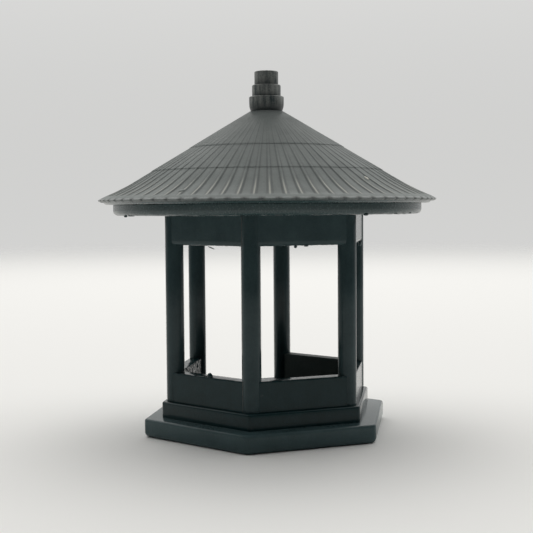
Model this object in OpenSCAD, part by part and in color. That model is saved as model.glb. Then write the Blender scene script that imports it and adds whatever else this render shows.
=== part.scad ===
// Miniature garden gazebo: six round posts on two hexagonal steps under a ribbed conical roof.
// Millimetres. The underside of the lower step is at z = 0 and +Z points up the roof's axis.
// The entrance, the one side with no parapet, faces +Y.

/* [Plan] */
// Diameter of the circle through the centres of the six posts
post_circle = 19.3; // [16:0.1:24]

/* [Steps] */
// Height of the lower step
lower_step_height = 1.8; // [1.2:0.1:4]
// Height of the upper step, whose top is the floor
upper_step_height = 1.55; // [0.8:0.05:4]
// Width of the lower step left showing around the upper one
tread_width = 1.55; // [0.8:0.05:4]
// Width of floor left outside the parapets
ledge_width = 0.47; // [0.3:0.01:2]
// Depth rounded off each corner of both steps
corner_rounding = 0.07; // [0.03:0.01:0.6]
// Slope cut around the foot of the lower step
foot_chamfer = 0.4; // [0.1:0.05:0.8]
// Slope cut around the upper edge of both steps
edge_chamfer = 0.14; // [0.04:0.02:0.28]

/* [Posts and walls] */
// Diameter of a post
post_diameter = 1.76; // [1.2:0.02:2.6]
// Height from the floor to the underside of the eave plate
room_height = 18.05; // [14:0.05:26]
// Height of the parapets above the floor
parapet_height = 2.85; // [1.5:0.05:5]
// Depth of the frieze beams below the eave plate
frieze_depth = 2.85; // [1.5:0.05:5]
// How far the outer faces of parapets and beams lie inside the posts' outer tangent
outer_face_inset = 0.1; // [0.04:0.02:0.4]
// How far the inner faces of parapets and beams lie inside the posts' inner tangent
inner_face_inset = 0.36; // [0.04:0.02:0.5]

/* [Eave] */
// How far the eave plate reaches past the posts
plate_overhang = 4.7; // [2:0.1:8]
// Thickness of the eave plate
plate_thickness = 1.05; // [0.8:0.05:2]
// Radius on the lower edge of the eave plate
plate_edge_radius = 0.5; // [0.2:0.05:0.7]
// How far the roof's edge reaches past the eave plate
eave_overhang = 1.45; // [0.8:0.05:4]
// Thickness of the plain rim under the scalloped lip
rim_thickness = 0.2; // [0.1:0.02:0.5]
// How far the rim lies back under the hollows of the lip
rim_setback = 0.06; // [0.02:0.02:0.3]
// Height of the scalloped lip above the rim
lip_height = 0.28; // [0.1:0.02:0.6]
// How far the lip and the rim each lean in towards the plate
lip_lean = 0.3; // [0.04:0.02:0.4]
// Depth of the scallops along the lip
scallop_depth = 0.12; // [0.02:0.01:0.3]
// Share of the rib spacing that the round of a scallop takes up
scallop_share = 0.8; // [0.5:0.05:0.95]
// Width in plan of the plain band between the ribs and the lip
band_width = 0.6; // [0.4:0.1:1.4]

/* [Roof] */
// Pitch of the roof
roof_pitch = 31; // [22:0.2:40]
// Gentler pitch of the flared edge
flare_pitch = 23.8; // [15:0.2:30]
// Width of the flared edge in plan
flare_width = 2.5; // [1.8:0.1:4]
// Width in plan of the lower course above the flare
lower_course_width = 2.62; // [1.6:0.02:5]
// Width in plan of the middle course
middle_course_width = 3.7; // [2:0.1:5]
// How far the edge of a course stands out over the course below
course_lap = 0.03; // [0.01:0.01:0.25]
// Height of the shadow groove under the edge of a course
groove_height = 0.07; // [0.05:0.01:0.3]
// Depth of that groove behind the boards of the course above it
groove_depth = 0.03; // [0.02:0.01:0.4]
// Number of ribs around the roof
rib_count = 72; // [36:6:96]
// Share of the spacing that a rib takes up
rib_share = 0.34; // [0.2:0.01:0.8]
// Height of a rib above the boards at the eave
rib_height = 0.12; // [0.05:0.01:0.3]
// Length in plan over which the boards rise to the plain band
rib_end_length = 0.2; // [0.1:0.05:0.4]
// Facets across a rib
rib_facets = 4; // [2:1:6]

/* [Finial] */
// Greatest diameter of the finial's base tier
finial_base_diameter = 3.44; // [2.6:0.02:5]
// Height of the base tier
finial_base_height = 1.44; // [0.8:0.02:3]
// Height of the base tier's widest level above its foot
finial_bulge_height = 0.75; // [0.3:0.05:1.2]
// Radius of the side that draws in below the widest level
finial_bulge_radius = 1.75; // [1.5:0.05:4]
// Diameter of the middle tier
finial_middle_diameter = 2.84; // [2:0.02:4]
// Height of the middle tier
finial_middle_height = 1.14; // [0.6:0.02:3]
// Diameter of the top tier
finial_top_diameter = 2.36; // [1.4:0.02:3.5]
// Height of the top tier
finial_top_height = 1.34; // [0.6:0.02:3]
// Radius on the upper edge of each tier
finial_edge_radius = 0.1; // [0.04:0.02:0.3]
// Width of roof left showing around the foot of the finial
finial_margin = 0.08; // [0.04:0.02:0.6]

/* [Hidden] */
$fn = 96;
post_ring = post_circle / 2;
post_radius = post_diameter / 2;
wall_line = post_ring * cos(30);
wall_out = post_radius - outer_face_inset;
wall_in = post_radius - inner_face_inset;
upper_apothem = wall_line + wall_out + ledge_width;
lower_apothem = upper_apothem + tread_width;
floor_z = lower_step_height + upper_step_height;
plate_z = floor_z + room_height;
plate_radius = post_ring + post_radius + plate_overhang;
rim_z = plate_z + plate_thickness;
lip_z = rim_z + rim_thickness;
eave_z = lip_z + lip_height;
eave_radius = plate_radius + eave_overhang;
lip_radius = eave_radius - lip_lean;
rim_radius = lip_radius - scallop_depth - rim_setback;
band_radius = eave_radius - band_width;
band_z = eave_z + band_width * tan(flare_pitch);
rib_end_radius = band_radius - rib_end_length;
rib_end_z = band_z + rib_end_length * tan(flare_pitch);
knee_radius = eave_radius - flare_width;
knee_z = eave_z + flare_width * tan(flare_pitch);
groove_run = groove_height / tan(roof_pitch);
lower_top_radius = knee_radius - lower_course_width;
lower_top_z = knee_z + lower_course_width * tan(roof_pitch);
middle_radius = lower_top_radius - groove_run + course_lap;
middle_z = lower_top_z + groove_height;
middle_top_radius = middle_radius - middle_course_width;
middle_top_z = middle_z + middle_course_width * tan(roof_pitch);
upper_radius = middle_top_radius - groove_run + course_lap;
upper_z = middle_top_z + groove_height;
finial_base_radius = finial_base_diameter / 2;
finial_foot_radius = finial_base_radius - finial_bulge_radius
    + sqrt(pow(finial_bulge_radius, 2) - pow(finial_bulge_height, 2));
peak_radius = finial_foot_radius + finial_margin;
finial_z = upper_z + (upper_radius - peak_radius) * tan(roof_pitch);
finial_middle_z = finial_z + finial_base_height;
finial_top_z = finial_middle_z + finial_middle_height;
stone = "#5f6665";
slate = "#6f7676";

// Hexagon given by its apothem, with the tips of its corners rounded off
module step_outline(apothem) {
    corner = apothem / cos(30);
    intersection() {
        circle(r = corner, $fn = 6);
        circle(r = corner - corner_rounding);
    }
}

// What a slope takes off along each of the six sides, at the given height
module side_slopes(apothem, z, depth) {
    for (side = [0 : 5]) {
        rotate([0, 0, 30 + 60 * side])
        translate([apothem - depth, -apothem, z])
        rotate([0, 45, 0])
        cube([2 * depth, 2 * apothem, 2 * depth]);
    }
}

module lower_step() {
    color(stone)
    difference() {
        linear_extrude(height = lower_step_height)
        step_outline(lower_apothem);
        side_slopes(lower_apothem, 0, foot_chamfer);
        side_slopes(lower_apothem, lower_step_height, edge_chamfer);
    }
}

module upper_step() {
    color(stone)
    translate([0, 0, lower_step_height])
    difference() {
        linear_extrude(height = upper_step_height)
        step_outline(upper_apothem);
        side_slopes(upper_apothem, upper_step_height, edge_chamfer);
    }
}

// Place of the post that stands in the direction of the given angle
module at_post(angle) {
    rotate([0, 0, angle])
    translate([post_ring, 0, 0])
    children();
}

module post(angle) {
    color(stone)
    at_post(angle)
    translate([0, 0, floor_z])
    cylinder(r = post_radius, h = room_height);
}

// Wall panel on the side that faces the given angle, its ends scribed to the two posts
module panel(angle, bottom, height) {
    color(stone)
    difference() {
        rotate([0, 0, angle])
        translate([wall_line - wall_in, -post_ring / 2, bottom])
        cube([wall_in + wall_out, post_ring, height]);
        for (end = [-30, 30]) {
            at_post(angle + end)
            translate([0, 0, bottom - height])
            cylinder(r = post_radius, h = 3 * height);
        }
    }
}

module parapet(angle) {
    panel(angle, floor_z, parapet_height);
}

module frieze(angle) {
    panel(angle, plate_z - frieze_depth, frieze_depth);
}

// Round plate that closes the room, with its lower edge rounded
module eave_plate() {
    color(slate)
    translate([0, 0, plate_z])
    rotate_extrude()
    union() {
        square([plate_radius - plate_edge_radius, plate_thickness]);
        translate([0, plate_edge_radius])
        square([plate_radius, plate_thickness - plate_edge_radius]);
        intersection() {
            translate([plate_radius - plate_edge_radius, plate_edge_radius])
            circle(r = plate_edge_radius);
            square([plate_radius, plate_thickness]);
        }
    }
}

module eave_rim() {
    color(slate)
    translate([0, 0, rim_z])
    cylinder(r1 = rim_radius - lip_lean, r2 = rim_radius, h = rim_thickness);
}

// Outline at a height, with one round per rib: crest is its outer radius and relief its depth
function ring(crest, z, relief, share) = [
    for (rib = [0 : rib_count - 1])
    for (facet = [0 : rib_facets])
    let (
        across = 180 * facet / rib_facets,
        angle = (rib - share * cos(across) / 2) * 360 / rib_count,
        radius = crest - relief * (1 - sin(across))
    )
    [radius * cos(angle), radius * sin(angle), z]
];
// Level depth of the boards behind the ribs, which flatten out towards the axis
function rib_relief(crest) = rib_height / sin(roof_pitch) * pow(crest / eave_radius, 2);
function ribbed(crest, z) = ring(crest, z, rib_relief(crest), rib_share);
function scalloped(crest, z) = ring(crest, z, scallop_depth, scallop_share);
function plain(radius, z) = ring(radius, z, 0, rib_share);
function neck_radius(foot) = foot - rib_relief(foot) - groove_depth;

// Closed solid through a stack of rings, lowest first
module loft(rings) {
    count = len(rings[0]);
    points = [for (level = rings) each level];
    walls = [
        for (level = [0 : len(rings) - 2])
        for (k = [0 : count - 1])
        let (
            a = level * count + k,
            b = level * count + (k + 1) % count
        )
        each [[a, a + count, b + count], [a, b + count, b]]
    ];
    floor_face = [for (k = [0 : count - 1]) k];
    top_face = [for (k = [1 : count]) len(points) - k];
    polyhedron(points = points, faces = concat([floor_face], walls, [top_face]));
}

// Lowest course: scalloped lip, plain band, flared edge, main slope and the neck of the groove
module roof_lower_course() {
    color(slate)
    loft([
        scalloped(lip_radius, lip_z),
        scalloped(eave_radius, eave_z),
        plain(band_radius, band_z),
        ribbed(rib_end_radius, rib_end_z),
        ribbed(knee_radius, knee_z),
        ribbed(lower_top_radius, lower_top_z),
        plain(neck_radius(middle_radius), lower_top_z),
        plain(neck_radius(middle_radius), middle_z)
    ]);
}

module roof_middle_course() {
    color(slate)
    loft([
        ribbed(middle_radius, middle_z),
        ribbed(middle_top_radius, middle_top_z),
        plain(neck_radius(upper_radius), middle_top_z),
        plain(neck_radius(upper_radius), upper_z)
    ]);
}

module roof_upper_course() {
    color(slate)
    loft([
        ribbed(upper_radius, upper_z),
        ribbed(peak_radius, finial_z)
    ]);
}

// Half section of a round tier with its upper edge rounded
module tier_section(radius, height) {
    square([radius - finial_edge_radius, height]);
    square([radius, height - finial_edge_radius]);
    translate([radius - finial_edge_radius, height - finial_edge_radius])
    circle(r = finial_edge_radius);
}

module finial_base() {
    color(slate)
    translate([0, 0, finial_z])
    rotate_extrude()
    intersection() {
        tier_section(finial_base_radius, finial_base_height);
        union() {
            translate([0, finial_bulge_height])
            square([finial_base_radius, finial_base_height]);
            intersection() {
                translate([finial_base_radius - finial_bulge_radius, finial_bulge_height])
                circle(r = finial_bulge_radius);
                square([finial_base_radius, finial_bulge_height]);
            }
        }
    }
}

module finial_middle() {
    color(slate)
    translate([0, 0, finial_middle_z])
    rotate_extrude()
    tier_section(finial_middle_diameter / 2, finial_middle_height);
}

module finial_top() {
    color(slate)
    translate([0, 0, finial_top_z])
    rotate_extrude()
    tier_section(finial_top_diameter / 2, finial_top_height);
}

lower_step();
upper_step();
post(240);  // post_front_left
post(300);  // post_front_right
post(0);  // post_right
post(60);  // post_back_right
post(120);  // post_back_left
post(180);  // post_left
parapet(270);  // parapet_front
parapet(330);  // parapet_front_right
parapet(30);  // parapet_back_right
parapet(150);  // parapet_back_left
parapet(210);  // parapet_front_left
frieze(270);  // frieze_front
frieze(330);  // frieze_front_right
frieze(30);  // frieze_back_right
frieze(90);  // frieze_back
frieze(150);  // frieze_back_left
frieze(210);  // frieze_front_left
eave_plate();
eave_rim();
roof_lower_course();
roof_middle_course();
roof_upper_course();
finial_base();
finial_middle();
finial_top();
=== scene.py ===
import math

import bmesh
import bpy
from mathutils import Matrix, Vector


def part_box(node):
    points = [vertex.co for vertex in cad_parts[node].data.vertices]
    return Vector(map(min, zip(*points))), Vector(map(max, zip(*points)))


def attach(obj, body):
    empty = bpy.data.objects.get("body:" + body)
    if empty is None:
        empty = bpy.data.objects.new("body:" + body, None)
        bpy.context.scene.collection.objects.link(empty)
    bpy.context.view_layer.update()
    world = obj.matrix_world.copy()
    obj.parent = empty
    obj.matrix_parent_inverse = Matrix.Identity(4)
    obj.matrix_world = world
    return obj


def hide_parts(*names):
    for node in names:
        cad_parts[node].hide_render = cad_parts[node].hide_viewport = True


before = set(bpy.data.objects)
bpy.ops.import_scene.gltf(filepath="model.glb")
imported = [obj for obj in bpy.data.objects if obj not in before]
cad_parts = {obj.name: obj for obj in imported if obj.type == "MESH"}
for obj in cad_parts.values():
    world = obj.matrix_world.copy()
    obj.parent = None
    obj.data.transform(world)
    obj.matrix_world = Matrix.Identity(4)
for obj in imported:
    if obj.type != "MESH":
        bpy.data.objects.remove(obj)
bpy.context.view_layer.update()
bpy.context.scene.view_settings.view_transform = "Standard"
mm = 0.001
tiny = 1e-6  # places closer than this, in metres, count as one
ribCount = 72  # all round the roof
frontTurn = 270  # the side that faces the front, in degrees
print("frame loaded,", len(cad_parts), "nodes")


# picking and finishing
def freeAll():  # object mode, nothing selected
    if bpy.context.object and bpy.context.object.mode != "OBJECT":
        bpy.ops.object.mode_set(mode="OBJECT")
    bpy.ops.object.select_all(action="DESELECT")


def takeUp(piece):  # the only selected object
    freeAll()
    piece.select_set(True)
    bpy.context.view_layer.objects.active = piece


def startEdit(piece, kind="VERT"):
    takeUp(piece)
    bpy.ops.object.mode_set(mode="EDIT")
    bpy.ops.mesh.select_mode(type=kind)
    bpy.ops.mesh.select_all(action="DESELECT")


def pick(kind, wanted):  # selects what wanted() says yes to, by place
    bpy.ops.mesh.select_all(action="DESELECT")
    mesh = bpy.context.object.data
    shape = bmesh.from_edit_mesh(mesh)
    if kind == "VERT":
        chosen = [v for v in shape.verts if wanted(v.co)]
    elif kind == "EDGE":
        chosen = [e for e in shape.edges if wanted(e.verts[0].co, e.verts[1].co)]
    else:
        chosen = [f for f in shape.faces if wanted(f.calc_center_median(), f.normal)]
    for element in chosen:
        element.select_set(True)
    shape.select_flush_mode()
    bmesh.update_edit_mesh(mesh)


def softenEdges(wanted, softness, segments, profile=0.5):
    pick("EDGE", wanted)
    bpy.ops.mesh.bevel(offset=softness * mm, segments=segments, profile=profile)


def roughen(wanted, offset, seed, outward=0.0):  # moves points at random, by about offset in mm
    pick("VERT", wanted)
    bpy.ops.transform.vertex_random(offset=offset * mm, normal=outward, seed=seed)


def roughenAll(offset, seed):
    bpy.ops.mesh.select_all(action="SELECT")
    bpy.ops.transform.vertex_random(offset=offset * mm, seed=seed)


def cutAt(up):  # a loop all round at one height
    bpy.ops.mesh.select_all(action="SELECT")
    bpy.ops.mesh.bisect(plane_co=(0, 0, up), plane_no=(0, 0, 1))


def asPiece(name):  # what was just added, with its place in its mesh
    piece = bpy.context.object
    piece.name = piece.data.name = name
    bpy.ops.object.transform_apply(location=True, rotation=True, scale=True)
    return piece


def copyTurned(piece, name, turn):  # a copy with its own mesh, turned about the roof's axis
    takeUp(piece)
    bpy.ops.object.duplicate(linked=False)
    copied = bpy.context.object
    copied.rotation_euler.z = math.radians(turn)
    return asPiece(name)


def settle(piece, node, finish, smoothAngle=32):
    startEdit(piece)
    bpy.ops.mesh.select_all(action="SELECT")
    bpy.ops.mesh.normals_make_consistent(inside=False)
    takeUp(piece)
    bpy.ops.object.shade_smooth_by_angle(angle=math.radians(smoothAngle))
    piece.data.materials.clear()
    piece.data.materials.append(finish)
    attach(piece, "root")
    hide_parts(node)


def giveFaces(piece, finish, wanted):  # a second finish, on the faces that wanted() says yes to
    piece.data.materials.append(finish)
    startEdit(piece, "FACE")
    pick("FACE", wanted)
    piece.active_material_index = 1
    bpy.ops.object.material_slot_assign()


def roundSizes(node):  # radius, foot and top of a round piece about the axis, in mm
    low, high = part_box(node)
    return high.x / mm, low.z / mm, high.z / mm


# shader nodes
def feed(tree, entry, value):  # links another node's socket, sets anything else
    if isinstance(value, bpy.types.NodeSocket):
        tree.links.new(value, entry)
    else:
        entry.default_value = value


def addNode(tree, kind, place, settings=None, inputs=None):
    node = tree.nodes.new("ShaderNode" + kind)
    node.location = place
    for key, value in (settings or {}).items():
        setattr(node, key, value)
    for key, value in (inputs or {}).items():
        feed(tree, node.inputs[key], value)
    return node


def addMath(tree, place, operation, *values):
    return addNode(tree, "Math", place, {"operation": operation}, dict(enumerate(values))).outputs["Value"]


def addNoise(tree, place, where, noise):  # noise is scale, detail and roughness
    inputs = {"Vector": where, **dict(zip(("Scale", "Detail", "Roughness"), noise))}
    return addNode(tree, "TexNoise", place, inputs=inputs).outputs["Fac"]


def addRange(tree, place, value, fromEnds, toEnds=(0, 1), soft=False):
    settings = {"interpolation_type": "SMOOTHSTEP" if soft else "LINEAR"}
    inputs = {"Value": value, "From Min": fromEnds[0], "From Max": fromEnds[1],
              "To Min": toEnds[0], "To Max": toEnds[1]}
    return addNode(tree, "MapRange", place, settings, inputs).outputs["Result"]


def addMix(tree, place, share, under, over, blend="MIX"):
    settings = {"data_type": "RGBA", "blend_type": blend}
    return addNode(tree, "Mix", place, settings, {"Factor": share, "A": under, "B": over}).outputs["Result"]


def addRamp(tree, place, value, levels):  # greys at places from 0 to 1
    node = addNode(tree, "ValToRGB", place, inputs={"Fac": value})
    points = node.color_ramp.elements
    points[0].position, points[1].position = levels[0][0], levels[-1][0]
    for at, _ in levels[1:-1]:
        points.new(at)
    for point, (_, level) in zip(points, levels):
        point.color = (level, level, level, 1)
    return node.outputs["Color"]


# the moulded plastic
plasticGrain = {
    "cloud": (0.45, 4.0, 0.6),  # scale, detail and roughness of each noise
    "grain": (7.0, 3.0, 0.65),
    "streak": (1.0, 3.0, 0.6),
    "scuff": (1.6, 6.0, 0.75),
    "grainTone": 0.7,  # the grain's share beside the clouds
    "middleTone": 0.84,  # what clouds and grain come to on average
    "streakMiddle": 0.5,
    "scuffEdge": 0.09,
    "grainEnds": (0.3, 0.7),
    "ribEdge": 0.2,
    "crestEdge": (0.03, 0.07),
    "streakDepth": 0.03,
    "grainDepth": 0.02,
}


def plainTone(tree, look, inMm, grain, streak):  # clouds, drawn streaks and grain, under sparse pale scuffs
    cloud = addNoise(tree, (-1000, 400), inMm, plasticGrain["cloud"])
    scuff = addNoise(tree, (-1000, -420), inMm, plasticGrain["scuff"])
    streaked = addMath(tree, (-780, 300), "MULTIPLY_ADD", streak, look["streakTone"], cloud)
    grained = addMath(tree, (-600, 300), "MULTIPLY_ADD", grain, plasticGrain["grainTone"], streaked)
    middle = plasticGrain["middleTone"] + plasticGrain["streakMiddle"] * look["streakTone"]
    share = addRange(tree, (-420, 300), grained, (middle - look["spread"], middle + look["spread"]))
    tone = addMix(tree, (-220, 320), share, (*look["dark"], 1), (*look["light"], 1))
    scuffEnds = (look["scuffFrom"], look["scuffFrom"] + plasticGrain["scuffEdge"])
    scuffShare = addRange(tree, (-600, -420), scuff, scuffEnds, (0, look["scuffMost"]))
    return addMix(tree, (-20, 320), scuffShare, tone, (*look["scuff"], 1))


def ribbedTone(tree, look, colour, inMm):  # painted shade in the corners beside the ribs, and in the nose's notches between rib ends
    split = addNode(tree, "SeparateXYZ", (-1000, 700), inputs={"Vector": inMm}).outputs
    around = addMath(tree, (-800, 700), "ARCTAN2", split["Y"], split["X"])
    pitches = addMath(tree, (-620, 700), "MULTIPLY", around, ribCount / math.tau)
    offRib = addMath(tree, (-440, 700), "PINGPONG", pitches, 0.5)
    ribShade = addRamp(tree, (-260, 700), offRib, look["ribShadeTones"])
    ribEnds = (look["ribsFrom"], look["ribsFrom"] + plasticGrain["ribEdge"])
    onRibs = addRange(tree, (-260, 500), split["Z"], ribEnds)
    # no two boards are quite alike
    board = addMath(tree, (-440, 950), "FLOOR", pitches)
    boardNoise = addNode(tree, "TexWhiteNoise", (-260, 950), {"noise_dimensions": "1D"}, {"W": board})
    boardEnds = (1 - look["boardSpread"], 1 + look["boardSpread"])
    boardTone = addRange(tree, (-60, 950), boardNoise.outputs["Value"], (0, 1), boardEnds)
    uneven = addNode(tree, "VectorMath", (-60, 700), {"operation": "SCALE"}, {0: ribShade, "Scale": boardTone})
    # the ribs' painted shade dies out near the top
    fade = addRange(tree, (-60, 500), split["Z"], look["ribsFade"], soft=True)
    fadedTone = (look["fadedTone"], look["fadedTone"], look["fadedTone"], 1)
    faded = addMix(tree, (60, 600), fade, uneven.outputs["Vector"], fadedTone)
    colour = addMix(tree, (180, 320), onRibs, colour, faded, "MULTIPLY")
    if "crest" in look:
        colour = crestTone(tree, look, colour, split["Z"], offRib, onRibs)
    return colour


def crestTone(tree, look, colour, up, offRib, onRibs):  # painted highlight: the rib crests are painted pale towards the eave
    onCrest = addRange(tree, (180, 700), offRib, plasticGrain["crestEdge"], (1, 0))
    nearEave = addRange(tree, (180, 500), up, look["crestFade"], (look["crestMost"], 0), soft=True)
    aboveBand = addMath(tree, (340, 500), "MULTIPLY", nearEave, onRibs)
    crestHighlightShare = addMath(tree, (340, 700), "MULTIPLY", onCrest, aboveBand)
    return addMix(tree, (480, 500), crestHighlightShare, colour, (*look["crest"], 1))


def paintedShadeTone(tree, look, colour, inMm):  # painted shade: darkest at the foot, gone at the upper height
    up = addNode(tree, "SeparateXYZ", (-600, 600), inputs={"Vector": inMm}).outputs["Z"]
    paintedShadeEnds = (look["paintedShadeFrom"], look["paintedShadeTo"])
    paintedShadeShare = addRange(tree, (-420, 600), up, paintedShadeEnds, (look["paintedShadeMost"], 0), soft=True)
    return addMix(tree, (380, 320), paintedShadeShare, colour, (*look["paintedShade"], 1))


def addRelief(tree, look, grain, streak):  # streaks under, grain over
    streakDepth, grainDepth = plasticGrain["streakDepth"] * mm, plasticGrain["grainDepth"] * mm
    under = {"Strength": look["streakBump"], "Distance": streakDepth, "Height": streak}
    drawn = addNode(tree, "Bump", (-420, -200), inputs=under).outputs["Normal"]
    over = {"Strength": look["grainBump"], "Distance": grainDepth, "Height": grain, "Normal": drawn}
    return addNode(tree, "Bump", (-220, -200), inputs=over).outputs["Normal"]


def mouldedPlastic(look):
    finish = bpy.data.materials.new(look["name"])
    finish.use_nodes = True
    tree = finish.node_tree
    shader = tree.nodes["Principled BSDF"].inputs
    place = addNode(tree, "TexCoord", (-1500, 0)).outputs["Object"]
    perMm = {"Vector": place, "Scale": (1 / mm, 1 / mm, 1 / mm)}
    inMm = addNode(tree, "Mapping", (-1300, 200), inputs=perMm).outputs["Vector"]
    drawnOut = {"Vector": place, "Scale": look["streakScale"]}
    drawn = addNode(tree, "Mapping", (-1300, -200), inputs=drawnOut).outputs["Vector"]
    grain = addNoise(tree, (-1000, 150), inMm, plasticGrain["grain"])
    streak = addNoise(tree, (-1000, -150), drawn, plasticGrain["streak"])
    colour = plainTone(tree, look, inMm, grain, streak)
    if "ribShadeTones" in look:
        colour = ribbedTone(tree, look, colour, inMm)
    if "paintedShade" in look:
        colour = paintedShadeTone(tree, look, colour, inMm)
    roughEnds = (look["smoothest"], look["roughest"])
    feed(tree, shader["Base Color"], colour)
    feed(tree, shader["Roughness"], addRange(tree, (-420, 0), grain, plasticGrain["grainEnds"], roughEnds))
    feed(tree, shader["IOR"], look["ior"])
    feed(tree, shader["Normal"], addRelief(tree, look, grain, streak))
    return finish


# one plastic in three tones for light: the body (upper step, parapets) is painted darker as painted shade,
# and the beams (posts, friezes) and the foot (lower step) are painted lighter as painted light
bodyShadedLook = {
    "name": "bodyShadedPlastic",
    "dark": (0.006, 0.022, 0.024),
    "light": (0.012, 0.035, 0.039),
    "scuff": (0.085, 0.098, 0.098),
    "scuffFrom": 0.66,
    "scuffMost": 0.5,
    "streakScale": (3200, 3200, 110),
    "streakTone": 0.22,
    "spread": 0.34,
    "streakBump": 0.03,
    "grainBump": 0.14,
    "smoothest": 0.12,
    "roughest": 0.2,
    "ior": 1.28,
}
beamLitLook = {**bodyShadedLook, "name": "beamLitPlastic", "dark": (0.027, 0.046, 0.050), "light": (0.043, 0.070, 0.074)}
footLitLook = {**bodyShadedLook, "name": "footLitPlastic", "dark": (0.038, 0.066, 0.071), "light": (0.059, 0.096, 0.102)}
# pale: a worn smear on the plate, and a painted glint on the seam beads
wornAndGlintLook = {**bodyShadedLook, "name": "wornAndGlintPlastic", "dark": (0.052, 0.066, 0.067), "light": (0.075, 0.09, 0.09)}
# the inner faces are rougher, and painted lighter as painted light in the shade inside
innerLook = {**bodyShadedLook, "name": "innerPlastic", "smoothest": 0.3, "roughest": 0.45, "ior": 1.12,
             "dark": (0.044, 0.058, 0.056), "light": (0.078, 0.092, 0.088)}
coarseLook = {**bodyShadedLook, "name": "coarsePlastic", "roughest": 0.3, "grainBump": 0.5,
              "scuffFrom": 0.5, "scuffMost": 0.8}
roofLook = {
    "name": "roofPlastic",
    "dark": (0.170, 0.190, 0.186),
    "light": (0.238, 0.260, 0.252),
    "scuff": (0.315, 0.325, 0.3),
    "scuffFrom": 0.68,
    "scuffMost": 0.45,
    "streakScale": (2400, 2400, 500),
    "streakTone": 0.3,
    "spread": 0.34,
    "streakBump": 0.05,
    "grainBump": 0.25,
    "smoothest": 0.28,
    "roughest": 0.4,
    "ior": 1.09,
}
ribbedLook = {
    **roofLook,
    "name": "ribbedPlastic",
    "ribsFrom": 23.15,  # heights in mm
    "ribsFade": (24.5, 31.5),
    "fadedTone": 0.7,
    "boardSpread": 0.08,
    "ribShadeTones": ((0.0, 0.9), (0.05, 0.9), (0.09, 0.74), (0.15, 0.56),  # painted shade by the rib feet, from a crest to half way to the next
                 (0.2, 0.62), (0.27, 0.86), (0.5, 0.92)),
    # painted highlight on the rib crests near the eave
    "crest": (0.4, 0.4, 0.36),
    "crestFade": (23.8, 25.1),
    "crestMost": 0.8,
}
noseLook = {
    **roofLook,
    "name": "nosePlastic",
    "smoothest": 0.25,
    "roughest": 0.35,
    "ior": 1.25,
    "ribsFrom": 22.65,
    "ribsFade": (40, 41),  # above the roof, so the nose doesn't fade
    "fadedTone": 1.0,
    "boardSpread": 0.0,
    # painted shade in the notches between the rib ends
    "ribShadeTones": ((0.0, 1.0), (0.2, 1.0), (0.36, 0.62), (0.5, 0.5)),
    # painted shade on the nose's lower side
    "paintedShade": (0.026, 0.036, 0.037),
    "paintedShadeFrom": 22.62,
    "paintedShadeTo": 22.94,
    "paintedShadeMost": 0.85,
}
plateLook = {**roofLook, "name": "platePlastic", "smoothest": 0.2, "roughest": 0.3, "ior": 1.45,
             "dark": (0.027, 0.048, 0.050), "light": (0.043, 0.070, 0.071)}
chippedLook = {**roofLook, "name": "chippedPlastic", "dark": (0.6, 0.59, 0.53), "light": (0.8, 0.79, 0.72)}
# the finial's strong pale vertical streaks are painted highlights, and its foot tone is painted shade
finialLook = {
    "dark": (0.04, 0.054, 0.057),
    "light": (0.221, 0.232, 0.222),
    "scuff": (0.22, 0.218, 0.198),
    "paintedShade": (0.01, 0.017, 0.019),
    "scuffFrom": 0.62,
    "scuffMost": 0.5,
    "streakScale": (2600, 2600, 300),
    "streakTone": 1.5,
    "spread": 0.24,
    "streakBump": 0.3,
    "grainBump": 0.3,
    "smoothest": 0.3,
    "roughest": 0.45,
    "ior": 1.37,
}
bodyShadedPlastic = mouldedPlastic(bodyShadedLook)
beamLitPlastic = mouldedPlastic(beamLitLook)
footLitPlastic = mouldedPlastic(footLitLook)
roofPlastic = mouldedPlastic(roofLook)
ribbedPlastic = mouldedPlastic(ribbedLook)
nosePlastic = mouldedPlastic(noseLook)
wornAndGlintPlastic = mouldedPlastic(wornAndGlintLook)
platePlastic = mouldedPlastic(plateLook)
innerPlastic = mouldedPlastic(innerLook)
coarsePlastic = mouldedPlastic(coarseLook)
chippedPlastic = mouldedPlastic(chippedLook)
print("finishes ready")


# the two hexagonal steps
lowerStepShape = {
    "name": "lowerStep",
    "node": "lower_step",
    "halfSide": 30,  # degrees from the middle of a side to its corner
    "cornerCut": 0.26,
    "cornerSteps": 5,
    "cornerProfile": 0.4,
    "wornAt": 240,  # the corner under the front left post is worn rounder
    "wornNear": 0.95,  # the least cosine of the turn from there
    "wornCut": 0.55,
    "wornSteps": 7,
    "wornProfile": 0.45,
    "topSoft": 0.24,
    "footSoft": 0.42,
    "softSteps": 4,
}
upperStepShape = {**lowerStepShape, "name": "upperStep", "node": "upper_step",
                  "cornerCut": 0.2, "wornCut": 0.24, "topSoft": 0.2, "footSoft": 0}


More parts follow.
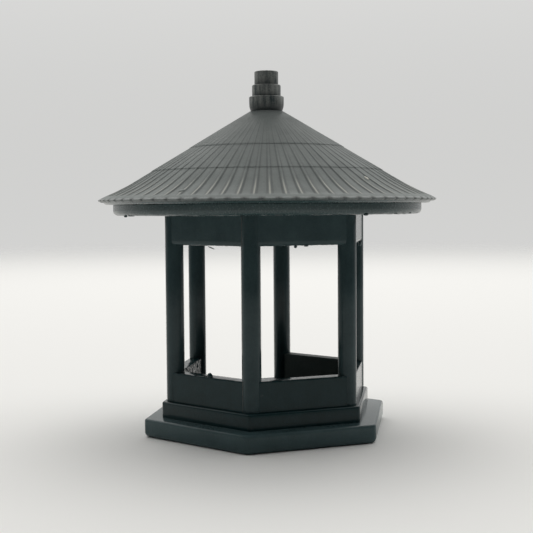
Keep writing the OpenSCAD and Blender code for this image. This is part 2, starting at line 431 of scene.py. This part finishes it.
def makeStep(shape, finish):
    low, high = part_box(shape["node"])
    halfSide = math.radians(shape["halfSide"])
    freeAll()
    bpy.ops.mesh.primitive_cylinder_add(
        vertices=6, radius=high.y / math.cos(halfSide), depth=high.z - low.z,
        location=(0, 0, (low.z + high.z) / 2), rotation=(0, 0, halfSide))
    step = asPiece(shape["name"])
    startEdit(step, "EDGE")

    def upright(a, b):
        return abs(a.z - b.z) > 0.5 * (high.z - low.z)

    def isWorn(p):
        return math.cos(math.atan2(p.y, p.x) - math.radians(shape["wornAt"])) > shape["wornNear"]

    softenEdges(lambda a, b: upright(a, b) and not isWorn(a),
                shape["cornerCut"], shape["cornerSteps"], shape["cornerProfile"])
    softenEdges(lambda a, b: upright(a, b) and isWorn(a),
                shape["wornCut"], shape["wornSteps"], shape["wornProfile"])
    softenEdges(lambda a, b: min(a.z, b.z) > high.z - tiny, shape["topSoft"], shape["softSteps"])
    if shape["footSoft"]:
        softenEdges(lambda a, b: max(a.z, b.z) < low.z + tiny,
                    shape["footSoft"], shape["softSteps"], shape["cornerProfile"])
    settle(step, shape["node"], finish)


makeStep(lowerStepShape, footLitPlastic)
makeStep(upperStepShape, bodyShadedPlastic)
print("steps made")


# the six posts
postShape = {
    "sides": 64,
    "rimSoft": 0.03,
    "rimSteps": 2,
    "seamAt": (100, -80),  # the mould's seams, from the outward direction
    "seamNear": 0.01,
    "seamRise": 1.02,
    "names": {0: ("postRight", "post_right"), 60: ("postBackRight", "post_back_right"),
              120: ("postBackLeft", "post_back_left"), 180: ("postLeft", "post_left"),
              240: ("postFrontLeft", "post_front_left"), 300: ("postFrontRight", "post_front_right")},
}


def makePosts(shape):
    low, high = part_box("post_right")
    middle = (low + high) / 2
    freeAll()
    bpy.ops.mesh.primitive_cylinder_add(
        vertices=shape["sides"], radius=(high.x - low.x) / 2, depth=high.z - low.z, location=middle)
    post = asPiece("postRight")
    startEdit(post, "EDGE")
    softenEdges(lambda a, b: abs(a.z - b.z) < tiny, shape["rimSoft"], shape["rimSteps"])
    bpy.ops.mesh.select_mode(type="VERT")

    def offSeam(p, seam):  # the turn between a point and the seam
        turn = math.atan2(p.y, p.x - middle.x) - seam
        return abs(math.atan2(math.sin(turn), math.cos(turn)))

    for seamAt in shape["seamAt"]:
        seam = math.radians(round(seamAt / 360 * shape["sides"]) * 360 / shape["sides"])
        pick("VERT", lambda p: offSeam(p, seam) < shape["seamNear"])
        bpy.ops.transform.resize(value=(shape["seamRise"], shape["seamRise"], 1), center_override=middle)
    for turn, (name, node) in shape["names"].items():
        made = post if turn == 0 else copyTurned(post, name, turn)
        settle(made, node, beamLitPlastic)


makePosts(postShape)
print("posts made")


# low parapets and frieze beams between the posts
parapetShape = {
    "node": "parapet_front",
    "topSoft": 0.08,
    "lowSoft": 0,
    "softSteps": 3,
    "cuts": 60,
    "rough": 0.012,
    "roughReach": 0.1,
    "holdLoops": (0.16, 0.22),
    "roughInside": 150,
    "insideLoops": 16,
    "insideRough": 0.06,
    "insideOutward": 0.8,
    "insideReach": 0.02,
    "insideFinish": innerPlastic,
    "coarseFinish": coarsePlastic,
    "finishReach": 0.1,
    "dullTop": 30,
    "names": {270: ("parapetFront", "parapet_front"), 330: ("parapetFrontRight", "parapet_front_right"),
              30: ("parapetBackRight", "parapet_back_right"), 150: ("parapetBackLeft", "parapet_back_left"),
              210: ("parapetFrontLeft", "parapet_front_left")},
}
friezeShape = {
    "node": "frieze_front",
    "topSoft": 0,
    "lowSoft": 0.3,
    "softSteps": 3,
    "cuts": 60,
    "rough": 0.03,
    "roughReach": 0.1,
    "holdLoops": (0.38, 0.46),
    "roughInside": None,
    "insideFinish": None,
    "names": {270: ("friezeFront", "frieze_front"), 330: ("friezeFrontRight", "frieze_front_right"),
              30: ("friezeBackRight", "frieze_back_right"), 90: ("friezeBack", "frieze_back"),
              150: ("friezeBackLeft", "frieze_back_left"), 210: ("friezeFrontLeft", "frieze_front_left")},
}
scribeShape = {"bite": 0.01, "cutterLength": 3}


def scribeToPost(panel, node, shape):  # cuts the panel's end to the post's round
    low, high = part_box(node)
    freeAll()
    bpy.ops.mesh.primitive_cylinder_add(
        vertices=postShape["sides"], radius=(high.x - low.x) / 2 - shape["bite"] * mm,
        depth=shape["cutterLength"] * (high.z - low.z), location=(low + high) / 2)
    cutter = bpy.context.object
    takeUp(panel)
    scribe = panel.modifiers.new("scribe", "BOOLEAN")
    scribe.operation = "DIFFERENCE"
    scribe.solver = "EXACT"
    scribe.object = cutter
    bpy.ops.object.modifier_apply(modifier="scribe")
    takeUp(cutter)
    bpy.ops.object.delete()


def makeFrontPanel(shape, low, high):
    posts = (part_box("post_front_left"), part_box("post_front_right"))
    left, right = [(box[0].x + box[1].x) / 2 for box in posts]
    freeAll()
    bpy.ops.mesh.primitive_cube_add(
        size=1, location=((left + right) / 2, (low.y + high.y) / 2, (low.z + high.z) / 2))
    bpy.ops.transform.resize(value=(right - left, high.y - low.y, high.z - low.z))
    panel = asPiece(shape["names"][frontTurn][0])
    startEdit(panel, "EDGE")

    def isAlong(a, b, up):  # an edge from post to post at one height
        return abs(a.z - up) < tiny and abs(b.z - up) < tiny and abs(a.y - b.y) < tiny

    if shape["topSoft"]:
        softenEdges(lambda a, b: isAlong(a, b, high.z), shape["topSoft"], shape["softSteps"])
    if shape["lowSoft"]:
        softenEdges(lambda a, b: isAlong(a, b, low.z), shape["lowSoft"], shape["softSteps"])
    pick("EDGE", lambda a, b: abs(a.x - b.x) > 0.5 * (right - left))
    bpy.ops.mesh.subdivide(number_cuts=shape["cuts"])
    scribeToPost(panel, "post_front_left", scribeShape)
    scribeToPost(panel, "post_front_right", scribeShape)
    return panel


def outTowards(p, turn):  # how far out from the axis a point lies, towards one side
    return p.x * math.cos(math.radians(turn)) + p.y * math.sin(math.radians(turn))


def makePanels(shape, finish):
    low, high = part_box(shape["node"])
    inside = -high.y
    edge, inward = (high.z, -1) if shape["topSoft"] else (low.z, 1)
    panel = makeFrontPanel(shape, low, high)
    startEdit(panel)
    for away in shape["holdLoops"]:  # loops that keep the rough edge's shading near the edge
        cutAt(edge + inward * away * mm)
    panels = {frontTurn: panel}
    for turn in shape["names"]:
        if turn != frontTurn:
            panels[turn] = copyTurned(panel, shape["names"][turn][0], turn - frontTurn)
    for turn, made in panels.items():  # each moulded edge is rough in its own way
        startEdit(made)
        roughen(lambda p: abs(p.z - edge) < shape["roughReach"] * mm, shape["rough"], turn)
        if turn == shape["roughInside"]:  # one parapet's inner face came out of the mould uneven
            for k in range(1, shape["insideLoops"]):
                cutAt(low.z + (high.z - low.z) * k / shape["insideLoops"])
            roughen(lambda p: outTowards(p, turn) < inside + shape["insideReach"] * mm,
                    shape["insideRough"], turn + 1, shape["insideOutward"])
        settle(made, shape["names"][turn][1], finish)
        if shape["insideFinish"]:  # the inner faces, and one top, came out duller than the outer faces; the inner finish is also painted lighter, as painted light
            dull = shape["coarseFinish" if turn == shape["roughInside"] else "insideFinish"]
            reach = inside + shape["finishReach"] * mm
            giveFaces(made, dull, lambda p, normal: outTowards(p, turn) < reach
                      or turn == shape["dullTop"] and normal.z > 0.5)
    return panels


parapets = makePanels(parapetShape, bodyShadedPlastic)
friezes = makePanels(friezeShape, beamLitPlastic)
print("parapets and friezes made")


# stacked rings, for the roof and the finial
roofRibs = {
    "steps": 16,  # points from one rib to the next
    "ribSteps": 2.8,  # half a rib's width, in points
    "height": 0.1,
    "notch": 0.1,
    "notchFrom": 5,
    "notchPower": 1.5,
    "grooveMore": 0.02,
}


def stackRings(name, rings, count):  # (radius, height, outline) from the lowest up, in mm
    freeAll()
    bpy.ops.mesh.primitive_circle_add(
        vertices=count, radius=rings[0][0] * mm, fill_type="NGON", location=(0, 0, rings[0][1] * mm))
    piece = asPiece(name)
    startEdit(piece)
    bpy.ops.mesh.select_all(action="SELECT")
    for below, above in zip(rings, rings[1:]):
        rise = (0, 0, (above[1] - below[1]) * mm)
        share = above[0] / below[0]
        bpy.ops.mesh.extrude_region_move(TRANSFORM_OT_translate={"value": rise})
        bpy.ops.transform.resize(value=(share, share, 1), center_override=(0, 0, above[1] * mm))
    for radius, height, outline in rings:
        if outline != "plain":
            pressOutline(radius, height, outline)
    freeAll()
    return piece


def ribDepth(radius):  # how far the boards lie behind the ribs, which flatten out towards the axis
    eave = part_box("roof_lower_course")[1].x / mm
    return roofRibs["height"] / math.sin(math.radians(roofShape["roofPitch"])) * (radius / eave) ** 2


def pressOutline(radius, height, outline):  # ribbed, grooved, or a number: notched so deep between rib ends
    steps = roofRibs["steps"]
    if outline == "ribbed":
        depth = ribDepth(radius)
    elif outline == "grooved":
        depth = ribDepth(radius) + roofRibs["grooveMore"]
    else:
        depth = outline
    groups = {}  # points pressed in by the same share move together
    for away in range(1, steps // 2 + 1):
        if outline in ("ribbed", "grooved"):
            press = 1 - math.sqrt(max(0, 1 - (away / roofRibs["ribSteps"]) ** 2))
        else:
            notched = (away - roofRibs["notchFrom"]) / (steps / 2 - roofRibs["notchFrom"])
            press = max(0, notched) ** roofRibs["notchPower"]
        groups.setdefault(round(1 - depth / radius * press, 6), []).append(away)

    def onRing(p):
        return abs(p.z - height * mm) < 2 * tiny and abs(math.hypot(p.x, p.y) - radius * mm) < 2 * tiny

    def stepsFromRib(p):
        along = round(math.atan2(p.y, p.x) / math.tau * ribCount * steps) % steps
        return min(along, steps - along)

    for share, members in groups.items():
        pick("VERT", lambda p: onRing(p) and stepsFromRib(p) in members)
        bpy.ops.transform.resize(value=(share, share, 1), center_override=(0, 0, height * mm))


# eave plate and the rim above it
plateShape = {
    "name": "eavePlate",
    "node": "eave_plate",
    "sides": 240,
    "lowSoft": 0.5,
    "lowSteps": 8,
    "topSoft": 0.05,
    "rough": 0.05,  # the lower edge is slightly wavy
    "roughUp": 0.6,
    "roughIn": 1.1,
    "seed": 4,
}
rimShape = {"name": "eaveRim", "node": "eave_rim", "sides": 240, "lean": 0.3, "halfWayLean": 0.45}


def makePlate(shape):
    radius, bottom, top = roundSizes(shape["node"])
    soft = shape["lowSoft"]
    rings = []
    for k in range(shape["lowSteps"] + 1):  # the rounded lower edge
        turn = math.radians(90 * k / shape["lowSteps"])
        rings.append((radius - soft * (1 - math.sin(turn)), bottom + soft * (1 - math.cos(turn)), "plain"))
    rings.append((radius, top - shape["topSoft"], "plain"))
    rings.append((radius - shape["topSoft"], top, "plain"))
    plate = stackRings(shape["name"], rings, shape["sides"])
    startEdit(plate)
    upTo = (bottom + shape["roughUp"] * soft) * mm
    inTo = (radius - shape["roughIn"] * soft) * mm
    roughen(lambda p: p.z < upTo and math.hypot(p.x, p.y) > inTo, shape["rough"], shape["seed"])
    settle(plate, shape["node"], platePlastic)
    return plate


def makeRim(shape):
    radius, bottom, top = roundSizes(shape["node"])
    rim = stackRings(shape["name"], [
        (radius - shape["lean"], bottom, "plain"),
        (radius - shape["halfWayLean"] * shape["lean"], 0.5 * (bottom + top), "plain"),
        (radius, top, "plain")], shape["sides"])
    settle(rim, shape["node"], platePlastic)


plate = makePlate(plateShape)
makeRim(rimShape)
print("eave plate and rim made")


# the three ribbed roof courses
roofShape = {
    "roofPitch": 31,
    "flarePitch": 23.8,
    "flareWidth": 2.5,
    "bandWidth": 0.6,
    "ribEnd": 0.2,
    "lipLean": 0.3,
    "lipHeight": 0.28,
    "lipCurve": ((1, 0), (0.4, 0.3), (0.1, 0.52)),  # shares of the lean and of the height
    "tipUp": 0.7,
    "noseWidth": 0.54,
    "noseFullness": 0.6,
    "noseSteps": 7,
    "notchFade": 0.85,
    "noseReach": 0.1,
    "kneeSoft": 1.1,
    "kneeSteps": 6,
    "grooveHeight": 0.04,
    "tuck": 0.01,  # a course's top goes this far in under the next one's edge
    "edgeSoft": 0.04,
    "edgeLean": (0.1, 0.8),
    "rings": 4,
    "firstRing": 0.04,  # keeps an edge's shading at the edge
    "rough": 0.011,
    "roughFrom": 0.8,
    "roughShort": 0.05,
    "smoothAngle": 40,
}


def slopeRings(start, end, shape):  # ribbed rings from start to end, both (radius, height)
    count = shape["rings"]
    shares = [shape["firstRing"]] + [k / count for k in range(1, count + 1)]
    return [(start[0] + (end[0] - start[0]) * share, start[1] + (end[1] - start[1]) * share, "ribbed")
            for share in shares]


def noseRings(shape, eave, base, flare):  # the eave's notched nose, leaning in below and rounded over above
    notch, lean, lip = roofRibs["notch"], shape["lipLean"], shape["lipHeight"]
    tipUp, cornerUp = base + shape["tipUp"] * lip, base + lip
    rings = [(eave - inShare * lean, base + upShare * lip, notch) for inShare, upShare in shape["lipCurve"]]
    for k in range(shape["noseSteps"] + 1):
        t = k / shape["noseSteps"]
        start, middle, end = (1 - t) ** 2, 2 * shape["noseFullness"] * t * (1 - t), t ** 2
        whole = start + middle + end
        radius = eave - end * shape["noseWidth"] / whole
        up = (start * tipUp + middle * cornerUp + end * (cornerUp + shape["noseWidth"] * flare)) / whole
        rings.append((radius, up, notch * (1 - shape["notchFade"] * t)))
    return rings


def kneeRings(shape, knee, kneeUp, flare, slope):  # the flare swings up softly into the main slope
    soft, steps = shape["kneeSoft"], shape["kneeSteps"]
    rings = []
    for k in range(steps + 1):
        t = k / steps
        up = kneeUp - soft * flare * (1 - t) ** 2 + soft * slope * t ** 2
        rings.append((knee + soft * (1 - 2 * t), up, "ribbed"))
    return rings


def courseRings(shape, edge, edgeUp, endUp, slope):  # a course's soft lower edge, then its slope
    soft = shape["edgeSoft"]
    footLean, softLean = shape["edgeLean"]
    start = (edge - softLean * soft, edgeUp + soft)
    end = (edge - (endUp - edgeUp) / slope, endUp)
    return [(edge - footLean * soft, edgeUp, "ribbed"), (*start, "ribbed"), *slopeRings(start, end, shape)]


def roughenCourse(course, low, high, seed):  # small unevenness of the casting, between two heights
    startEdit(course)
    roughen(lambda p: low * mm < p.z < high * mm, roofShape["rough"], seed)


def makeRoof(shape):
    slope = math.tan(math.radians(shape["roofPitch"]))
    flare = math.tan(math.radians(shape["flarePitch"]))
    count = ribCount * roofRibs["steps"]
    short, overEdge = shape["roughShort"], 2 * shape["edgeSoft"]
    eave, base, lowerTop = roundSizes("roof_lower_course")
    middleEdge, middleUp, middleTop = roundSizes("roof_middle_course")
    upperEdge, upperUp, peakUp = roundSizes("roof_upper_course")

    eaveUp = base + shape["lipHeight"]
    band = eave - shape["bandWidth"]
    knee, kneeUp = eave - shape["flareWidth"], eaveUp + shape["flareWidth"] * flare
    kneeEnd = (knee - shape["kneeSoft"], kneeUp + shape["kneeSoft"] * slope)
    shoulderUp = lowerTop - shape["grooveHeight"]
    shoulder = knee - (shoulderUp - kneeUp) / slope
    lower = stackRings("roofLowerCourse", [
        *noseRings(shape, eave, base, flare),
        (band, eaveUp + shape["bandWidth"] * flare, "plain"),
        (band - shape["ribEnd"], eaveUp + (shape["bandWidth"] + shape["ribEnd"]) * flare, "ribbed"),
        *kneeRings(shape, knee, kneeUp, flare, slope),
        *slopeRings(kneeEnd, (shoulder, shoulderUp), shape),
        (middleEdge - shape["tuck"], lowerTop, "grooved")], count)
    overBand = eaveUp + shape["roughFrom"] * shape["bandWidth"] * flare
    roughenCourse(lower, overBand, shoulderUp - short, seed=1)

    shoulderUp = middleTop - shape["grooveHeight"]
    middle = stackRings("roofMiddleCourse", [
        *courseRings(shape, middleEdge, middleUp, shoulderUp, slope),
        (upperEdge - shape["tuck"], middleTop, "grooved")], count)
    roughenCourse(middle, middleUp + overEdge, shoulderUp - short, seed=2)

    upper = stackRings("roofUpperCourse", courseRings(shape, upperEdge, upperUp, peakUp, slope), count)
    roughenCourse(upper, upperUp + overEdge, peakUp - short, seed=3)

    settle(lower, "roof_lower_course", ribbedPlastic, shape["smoothAngle"])
    settle(middle, "roof_middle_course", ribbedPlastic, shape["smoothAngle"])
    settle(upper, "roof_upper_course", ribbedPlastic, shape["smoothAngle"])
    noseTop = (eaveUp + shape["noseReach"]) * mm
    giveFaces(lower, nosePlastic, lambda p, normal: p.z < noseTop)  # glossier than the boards, with painted shade below
    return lower


lowerCourse = makeRoof(roofShape)
print("roof courses made")


# the finial's three tiers
finialShape = {
    "sides": 72,
    "edgeSoft": 0.1,
    "edgeSteps": 5,
    "bulgeHeight": 0.75,
    "bulgeRadius": 1.75,
    "bulgeSteps": 6,
    "rough": 0.015,
    "roughFrom": 0.05,
    "roughTo": 0.5,
    "tiers": (("finialBase", "finial_base", 1.05, 1.0),  # the painted shade's height in mm and its share at the foot
              ("finialMiddle", "finial_middle", 0.7, 0.55),
              ("finialTop", "finial_top", 1.0, 0.5)),
}


def makeTier(shape, name, node, paintedShadeUp, paintedShadeMost):
    radius, bottom, top = roundSizes(node)
    soft, bulge, bulgeUp = shape["edgeSoft"], shape["bulgeRadius"], shape["bulgeHeight"]
    rings = [(radius, bottom, "plain")]
    if node == "finial_base":  # the lower side draws in towards the roof
        rings = []
        for k in range(shape["bulgeSteps"] + 1):
            up = bulgeUp * k / shape["bulgeSteps"]
            inward = bulge - math.sqrt(bulge ** 2 - (bulgeUp - up) ** 2)
            rings.append((radius - inward, bottom + up, "plain"))
    for k in range(shape["edgeSteps"] + 1):  # the soft upper edge
        turn = math.radians(90 * k / shape["edgeSteps"])
        rings.append((radius - soft * (1 - math.cos(turn)), top - soft * (1 - math.sin(turn)), "plain"))
    tier = stackRings(name, rings, shape["sides"])
    startEdit(tier)
    roughLow, roughHigh = (bottom + shape["roughFrom"]) * mm, (top - shape["roughTo"] * soft) * mm
    roughen(lambda p: roughLow < p.z < roughHigh, shape["rough"], len(name))
    # each tier's finish: painted highlights in its streaks, painted shade at its foot
    highlitShadedPlastic = mouldedPlastic({
        **finialLook, "name": name + "Plastic",
        "paintedShadeFrom": bottom, "paintedShadeTo": bottom + paintedShadeUp, "paintedShadeMost": paintedShadeMost})
    settle(tier, node, highlitShadedPlastic)


for tier in finialShape["tiers"]:
    makeTier(finialShape, *tier)
print("finial made")


# burrs, beads and chips left by the mould: side, along it, out from the axis, height, three half sizes, droop
burrShape = {
    "friezeBurr": (210, 0.57, 9.0, 18.37, (0.44, 0.06, 0.05), 17),
    "friezeNib": (270, -0.68, 9.0, 18.47, (0.16, 0.1, 0.13), 0),
    "friezeGrain": (270, 0.39, 9.0, 18.52, (0.24, 0.1, 0.07), 0),
    "friezeBlister": (330, 2.03, 9.1, 18.42, (0.24, 0.16, 0.27), 0),
    "parapetNib": (210, 0.17, 8.9, 6.24, (0.33, 0.14, 0.36), 0),
    "plateDrops": ((285, 0, 14.9, 21.40, (0.27, 0.16, 0.11), 0),
                   (300.6, 0, 14.9, 21.46, (0.3, 0.16, 0.07), 0),
                   (312.4, 0, 14.9, 21.47, (0.34, 0.16, 0.07), 0),
                   (185.4, 0, 14.8, 21.34, (0.2, 0.16, 0.1), 0),
                   (190.5, 0, 14.78, 21.37, (0.8, 0.06, 0.04), 0)),
    "plateSmear": (252.7, 0, 14.92, 21.47, (0.4, 0.05, 0.1), 0),
    "roofChip": (293.1, 0, 13.02, 24.68, (0.15, 0.3, 0.07), 31),
    "roofBump": (219.5, 0, 15.1, 23.62, (0.3, 0.28, 0.06), 24),
    "rough": 0.14,
}
beadShape = {"turn": 210, "along": 4.418, "out": 9.137, "radius": 0.055, "sides": 12, "short": 0.1,
             "cuts": 14, "rough": 0.014, "seed": 14}


def sidePlace(turn, along, out):  # x and y of a place on a side
    angle = math.radians(turn)
    x = out * math.cos(angle) - along * math.sin(angle)
    y = out * math.sin(angle) + along * math.cos(angle)
    return x * mm, y * mm


def joinTo(piece, extra, finish):  # the smooth extra becomes part of the piece
    takeUp(extra)
    bpy.ops.object.shade_smooth()
    extra.data.materials.append(finish)
    piece.select_set(True)
    bpy.context.view_layer.objects.active = piece
    bpy.ops.object.join()


def addBurr(piece, burr, finish, seed):
    turn, along, out, up, halves, droop = burr
    freeAll()
    bpy.ops.mesh.primitive_ico_sphere_add(
        subdivisions=3, radius=mm, location=(*sidePlace(turn, along, out), up * mm))
    lump = bpy.context.object
    lump.scale = halves
    tilt, heading = math.radians(droop), math.radians(turn) + math.pi / 2
    lump.rotation_euler = (tilt, 0, heading) if along == 0 else (0, tilt, heading)
    asPiece("burr")
    startEdit(lump)
    roughenAll(burrShape["rough"] * min(halves), seed)
    joinTo(piece, lump, finish)


def addBead(piece, node, shape):  # the rough seam where a panel meets the front post; its pale finish paints a glint along the seam
    low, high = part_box(node)
    place = (*sidePlace(shape["turn"], shape["along"], shape["out"]), (low.z + high.z) / 2)
    freeAll()
    bpy.ops.mesh.primitive_cylinder_add(
        vertices=shape["sides"], radius=shape["radius"] * mm,
        depth=high.z - low.z - shape["short"] * mm, location=place)
    bead = asPiece("bead")
    startEdit(bead, "EDGE")
    pick("EDGE", lambda a, b: abs(a.z - b.z) > 0.5 * (high.z - low.z))
    bpy.ops.mesh.subdivide(number_cuts=shape["cuts"])
    roughenAll(shape["rough"], shape["seed"])
    joinTo(piece, bead, wornAndGlintPlastic)


burrs = [
    (friezes[210], burrShape["friezeBurr"], beamLitPlastic),
    (friezes[270], burrShape["friezeNib"], beamLitPlastic),
    (friezes[270], burrShape["friezeGrain"], beamLitPlastic),
    (friezes[330], burrShape["friezeBlister"], beamLitPlastic),
    (parapets[210], burrShape["parapetNib"], bodyShadedPlastic),
    *[(plate, drop, platePlastic) for drop in burrShape["plateDrops"]],
    (plate, burrShape["plateSmear"], wornAndGlintPlastic),
    (lowerCourse, burrShape["roofChip"], chippedPlastic),
    (lowerCourse, burrShape["roofBump"], roofPlastic),
]
for seed, (piece, burr, finish) in enumerate(burrs, 1):
    addBurr(piece, burr, finish, seed)
addBead(parapets[210], "parapet_front_left", beadShape)
addBead(friezes[210], "frieze_front_left", beadShape)
print("burrs, beads and chips made")


# floor, light and camera
floorShape = {"radius": 0.7, "sides": 96, "tone": (0.86, 0.855, 0.84), "roughness": 0.9, "fade": (0.2, 0.6)}


def makeFloor(shape):
    freeAll()
    bpy.ops.mesh.primitive_circle_add(vertices=shape["sides"], radius=shape["radius"], fill_type="NGON")
    floor = asPiece("floor")
    finish = bpy.data.materials.new("paleFloor")
    finish.use_nodes = True
    tree = finish.node_tree
    shader = tree.nodes["Principled BSDF"]
    shader.inputs["Base Color"].default_value = (*shape["tone"], 1)
    shader.inputs["Roughness"].default_value = shape["roughness"]
    shader.inputs["Specular IOR Level"].default_value = 0.0
    place = addNode(tree, "TexCoord", (-800, 0)).outputs["Object"]
    far = addNode(tree, "VectorMath", (-600, 0), {"operation": "LENGTH"}, {0: place}).outputs["Value"]
    fade = addRange(tree, (-400, 0), far, shape["fade"], soft=True)
    clear = addNode(tree, "BsdfTransparent", (0, -200)).outputs["BSDF"]
    blend = addNode(tree, "MixShader", (250, 0), inputs={"Fac": fade, 1: shader.outputs["BSDF"], 2: clear})
    feed(tree, tree.nodes["Material Output"].inputs["Surface"], blend.outputs["Shader"])
    floor.data.materials.append(finish)


cameraShape = {
    "lens": 71.6,
    "sensor": 36,
    "clip": (0.001, 20),
    "azimuth": -20.9,
    "away": 105.96,
    "up": 22.09,
    "pitch": 3.19,
    "aside": 0.06,
    "roll": -0.41,
}
lightShape = {
    "softbox": {"power": 0.45, "size": 0.34, "at": (0.085, 0.205, 0.33), "tone": (1.0, 0.98, 0.95)},
    "skyTone": (1.0, 1.0, 0.985),
    "skyHeights": (-0.15, 1.0),
    "skyLevels": ((0.0, 0.69), (0.3, 0.69), (0.45, 1.0), (0.65, 1.2), (1.0, 1.2)),  # from below to above
    "curveTop": 2.0,  # the level that the curve holds as 1
    "behindLift": 0.55,
    "behindEnds": (-0.25, 0.55),
    "frontShare": 0.05,
}


def makeSky(shape, azimuth):  # pale behind, bright above, dim in front
    world = bpy.data.worlds.new("studio")
    bpy.context.scene.world = world
    world.use_nodes = True
    tree = world.node_tree
    tree.nodes.clear()
    place = addNode(tree, "TexCoord", (-900, 0)).outputs["Generated"]
    split = addNode(tree, "SeparateXYZ", (-700, 150), inputs={"Vector": place}).outputs
    lift = addRange(tree, (-500, 150), split["Z"], shape["skyHeights"])
    levels = addNode(tree, "FloatCurve", (-300, 150), inputs={"Value": lift})
    top = shape["curveTop"]
    heights = [(at, level / top) for at, level in shape["skyLevels"]]
    points = levels.mapping.curves[0].points
    points[0].location, points[1].location = heights[0], heights[-1]
    for at, level in heights[1:-1]:
        points.new(at, level)
    levels.mapping.update()
    turn = math.radians(azimuth)
    backward = {0: place, 1: (-math.sin(turn), math.cos(turn), shape["behindLift"])}
    toBack = addNode(tree, "VectorMath", (-700, -150), {"operation": "DOT_PRODUCT"}, backward)
    shares = (top * shape["frontShare"], top)
    behind = addRange(tree, (-500, -150), toBack.outputs["Value"], shape["behindEnds"], shares, soft=True)
    strength = addMath(tree, (280, -150), "MULTIPLY", levels.outputs["Value"], behind)
    glow = {"Color": (*shape["skyTone"], 1), "Strength": strength}
    sky = addNode(tree, "Background", (600, 0), inputs=glow).outputs["Background"]
    addNode(tree, "OutputWorld", (900, 0), inputs={"Surface": sky})


def makeSoftbox(shape):
    freeAll()
    bpy.ops.object.light_add(type="AREA", location=shape["at"])
    softbox = bpy.context.object
    softbox.data.energy = shape["power"]
    softbox.data.size = shape["size"]
    softbox.data.color = shape["tone"]
    aim = -softbox.location
    softbox.rotation_euler = aim.to_track_quat("-Z", "Y").to_euler()


def makeCamera(shape):
    freeAll()
    turn = math.radians(shape["azimuth"])
    away = shape["away"] * mm
    bpy.ops.object.camera_add(location=(away * math.sin(turn), -away * math.cos(turn), shape["up"] * mm))
    camera = bpy.context.object
    heading = Matrix.Rotation(turn + math.radians(shape["aside"]), 3, "Z")
    aim = heading @ Matrix.Rotation(math.radians(90 - shape["pitch"]), 3, "X")
    camera.rotation_euler = (aim @ Matrix.Rotation(math.radians(shape["roll"]), 3, "Z")).to_euler()
    camera.data.lens = shape["lens"]
    camera.data.sensor_width = shape["sensor"]
    camera.data.clip_start, camera.data.clip_end = shape["clip"]
    bpy.context.scene.camera = camera


makeFloor(floorShape)
makeSky(lightShape, cameraShape["azimuth"])
makeSoftbox(lightShape["softbox"])
makeCamera(cameraShape)
print("floor, light and camera set")
